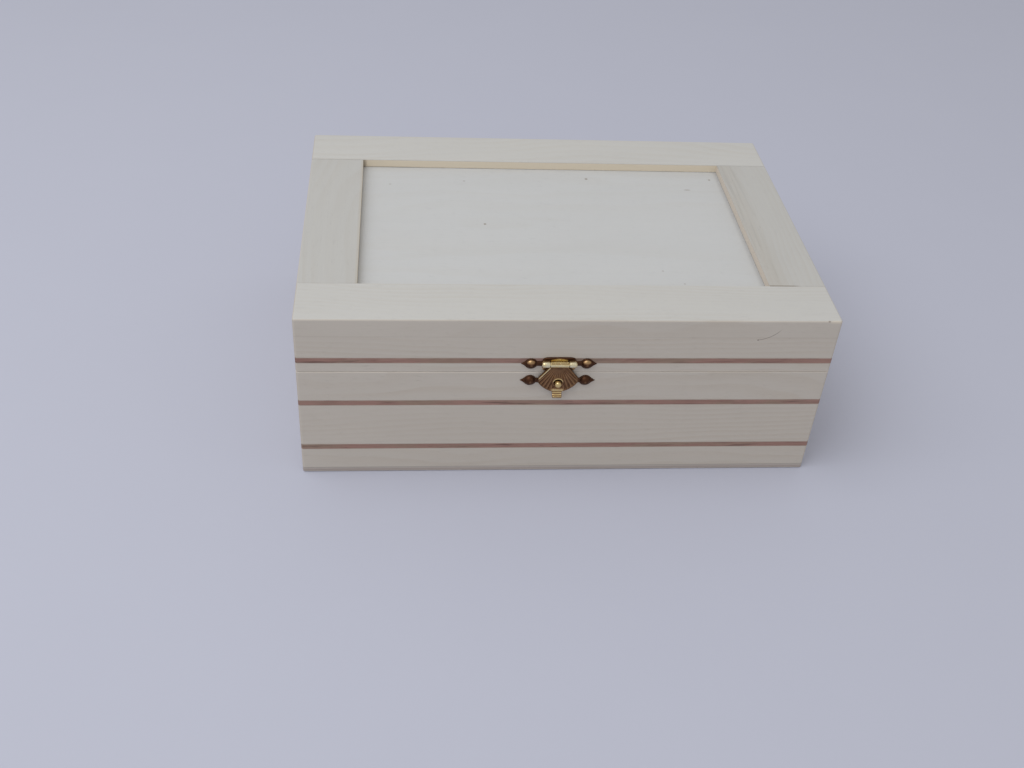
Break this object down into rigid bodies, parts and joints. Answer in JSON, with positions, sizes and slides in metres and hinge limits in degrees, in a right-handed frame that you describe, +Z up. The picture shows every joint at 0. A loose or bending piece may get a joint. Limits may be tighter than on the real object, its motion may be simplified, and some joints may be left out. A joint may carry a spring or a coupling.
{
  "type": "hinged wooden box",
  "caption": "Rectangular pale wooden keepsake box with banded laminated walls, a framed sunken lid panel, rear butt hinges and a brass shell clasp.",
  "frame": {"origin": "middle of the underside, on the surface that the box stands on", "axes": "+X along the box to the right seen from the clasp side, +Y from the clasp side to the hinges, +Z up"},
  "size_m": [0.2, 0.148, 0.0732],
  "materials": {
    "pale_wood": "bare sanded pale wood",
    "panel_wood": "bare pale plywood face",
    "band_wood": "bare reddish brown wood",
    "brass": "bright pressed brass",
    "nail_brass": "darkened brass"
  },
  "bodies": {
    "base": {"base_bottom_panel": "panel_wood", "base_front_foot_strip": "pale_wood", "base_front_lower_band": "band_wood", "base_front_middle_strip": "pale_wood", "base_front_rim_strip": "pale_wood", "base_front_upper_band": "band_wood", "base_left_foot_strip": "pale_wood", "base_left_lower_band": "band_wood", "base_left_middle_strip": "pale_wood", "base_left_rim_strip": "pale_wood", "base_left_upper_band": "band_wood", "base_rear_foot_strip": "pale_wood", "base_rear_lower_band": "band_wood", "base_rear_middle_strip": "pale_wood", "base_rear_rim_strip": "pale_wood", "base_rear_upper_band": "band_wood", "base_right_foot_strip": "pale_wood", "base_right_lower_band": "band_wood", "base_right_middle_strip": "pale_wood", "base_right_rim_strip": "pale_wood", "base_right_upper_band": "band_wood", "clasp_lower_nails": "nail_brass", "clasp_lower_plate": "brass", "clasp_stud": "brass", "hinge_base_nails": "nail_brass", "left_hinge_base_leaf": "brass", "left_hinge_pin": "brass", "right_hinge_base_leaf": "brass", "right_hinge_pin": "brass"},
    "lid": {"clasp_pin": "brass", "clasp_upper_nails": "nail_brass", "clasp_upper_plate": "brass", "hinge_lid_nails": "nail_brass", "left_hinge_lid_leaf": "brass", "lid_front_band": "band_wood", "lid_front_crown_strip": "pale_wood", "lid_front_lip_strip": "pale_wood", "lid_front_rail": "pale_wood", "lid_left_band": "band_wood", "lid_left_crown_strip": "pale_wood", "lid_left_lip_strip": "pale_wood", "lid_left_stile": "pale_wood", "lid_panel": "panel_wood", "lid_rear_band": "band_wood", "lid_rear_crown_strip": "pale_wood", "lid_rear_lip_strip": "pale_wood", "lid_rear_rail": "pale_wood", "lid_right_band": "band_wood", "lid_right_crown_strip": "pale_wood", "lid_right_lip_strip": "pale_wood", "lid_right_stile": "pale_wood", "right_hinge_lid_leaf": "brass"},
    "hasp": {"clasp_flap": "brass"}
  },
  "joints": [
    {"name": "lid_hinge", "type": "hinge", "parent": "base", "child": "lid", "pos_m": [0, 0.0721, 0.04963], "axis": [-1, 0, 0], "range_deg": [0, 180]},
    {"name": "hasp_hinge", "type": "hinge", "parent": "lid", "child": "hasp", "pos_m": [-0.0037, -0.0725, 0.0546], "axis": [-1, 0, 0], "range_deg": [0, 175]}
  ]
}
